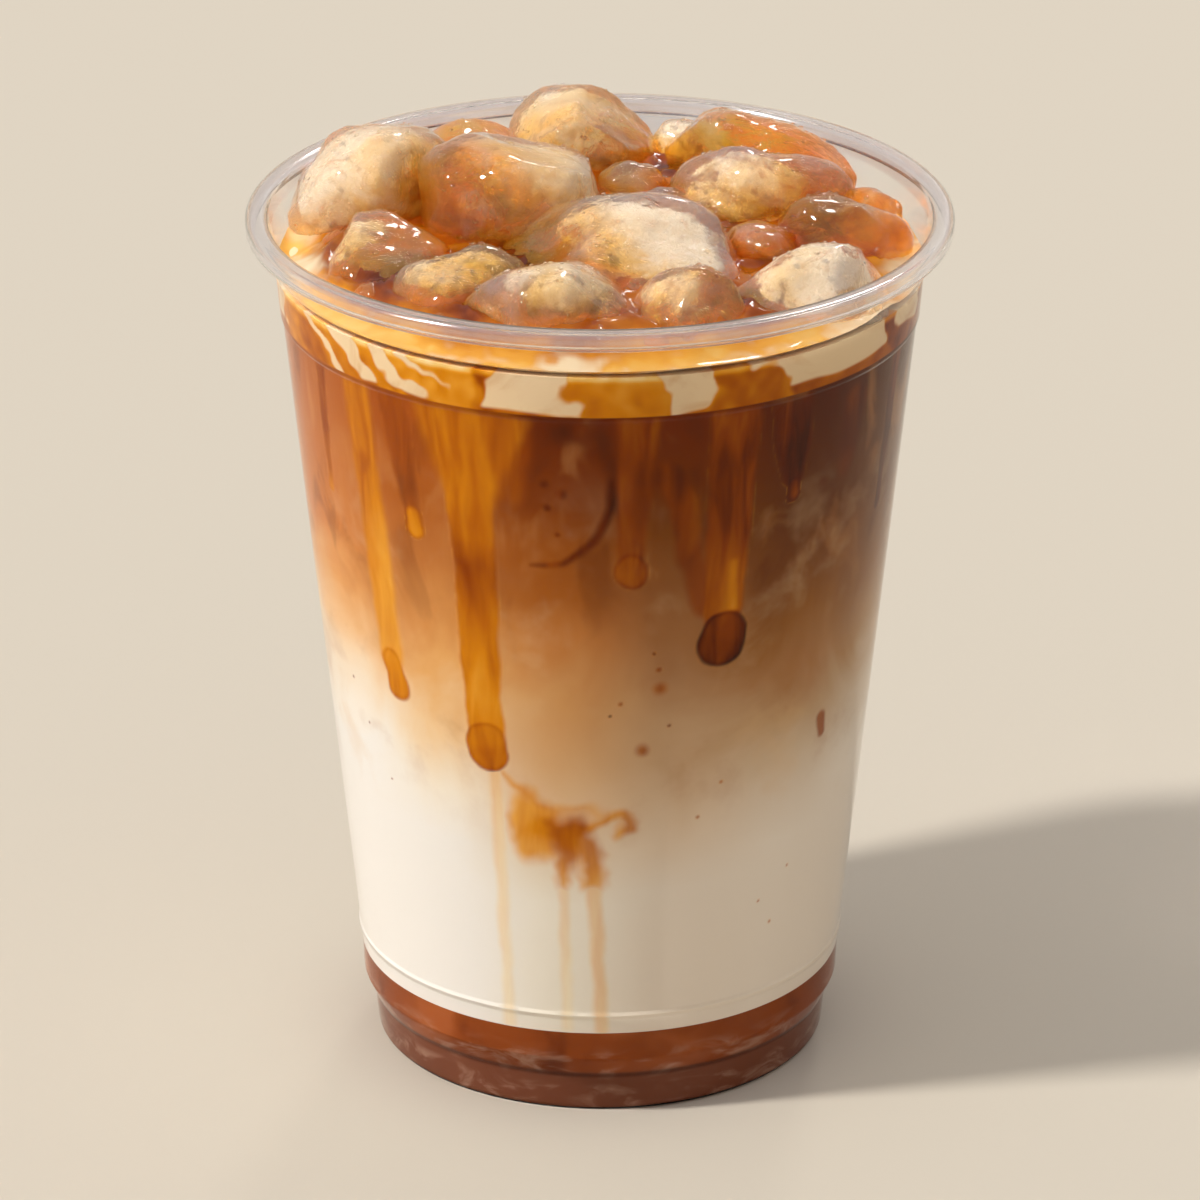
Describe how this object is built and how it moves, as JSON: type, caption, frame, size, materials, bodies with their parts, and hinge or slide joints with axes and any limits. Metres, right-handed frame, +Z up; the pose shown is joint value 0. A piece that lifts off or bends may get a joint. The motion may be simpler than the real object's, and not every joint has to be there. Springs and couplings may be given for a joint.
{
  "type": "iced caramel macchiato",
  "caption": "Clear plastic cup with a rolled rim, filled with layered iced coffee: caramel syrup, milk, coffee, a caramel and cream float and melting ice.",
  "frame": {"origin": "centre of the cup's foot, on the surface it stands on", "axes": "+Z up along the cup's axis, +X to the right, -Y to the front"},
  "size_m": [0.098, 0.098, 0.1308],
  "materials": {
    "clear_cup": "clear, thin and glossy, with bright edges at the rolled rim and the foot",
    "caramel_syrup": "brown syrup with pale milky patches, glossy behind the cup",
    "milk": "opaque creamy milk with soft tan clouds",
    "coffee": "amber to brown coffee with pale streaks, and caramel drips along the wall",
    "caramel_cream": "cream and caramel swirled together, wet and glossy",
    "ice": "wet melting ice, cloudy in the middle and tinted amber by the coffee"
  },
  "bodies": {
    "root": {"cup": "clear_cup", "syrup": "caramel_syrup", "milk": "milk", "coffee": "coffee", "cream_top": "caramel_cream", "ice_left_boulder": "ice", "ice_back_left": "ice", "ice_back_peak": "ice", "ice_amber_boulder": "ice", "ice_back_pale": "ice", "ice_amber_ridge": "ice", "ice_right_block": "ice", "ice_right_amber": "ice", "ice_right_bead": "ice", "ice_small_bead": "ice", "ice_right_pale": "ice", "ice_centre_dome": "ice", "ice_front_middle": "ice", "ice_front_right": "ice", "ice_front_left": "ice", "ice_left_wedge": "ice", "ice_sunk_lump": "ice", "ice_sunk_nub": "ice"}
  },
  "joints": []
}
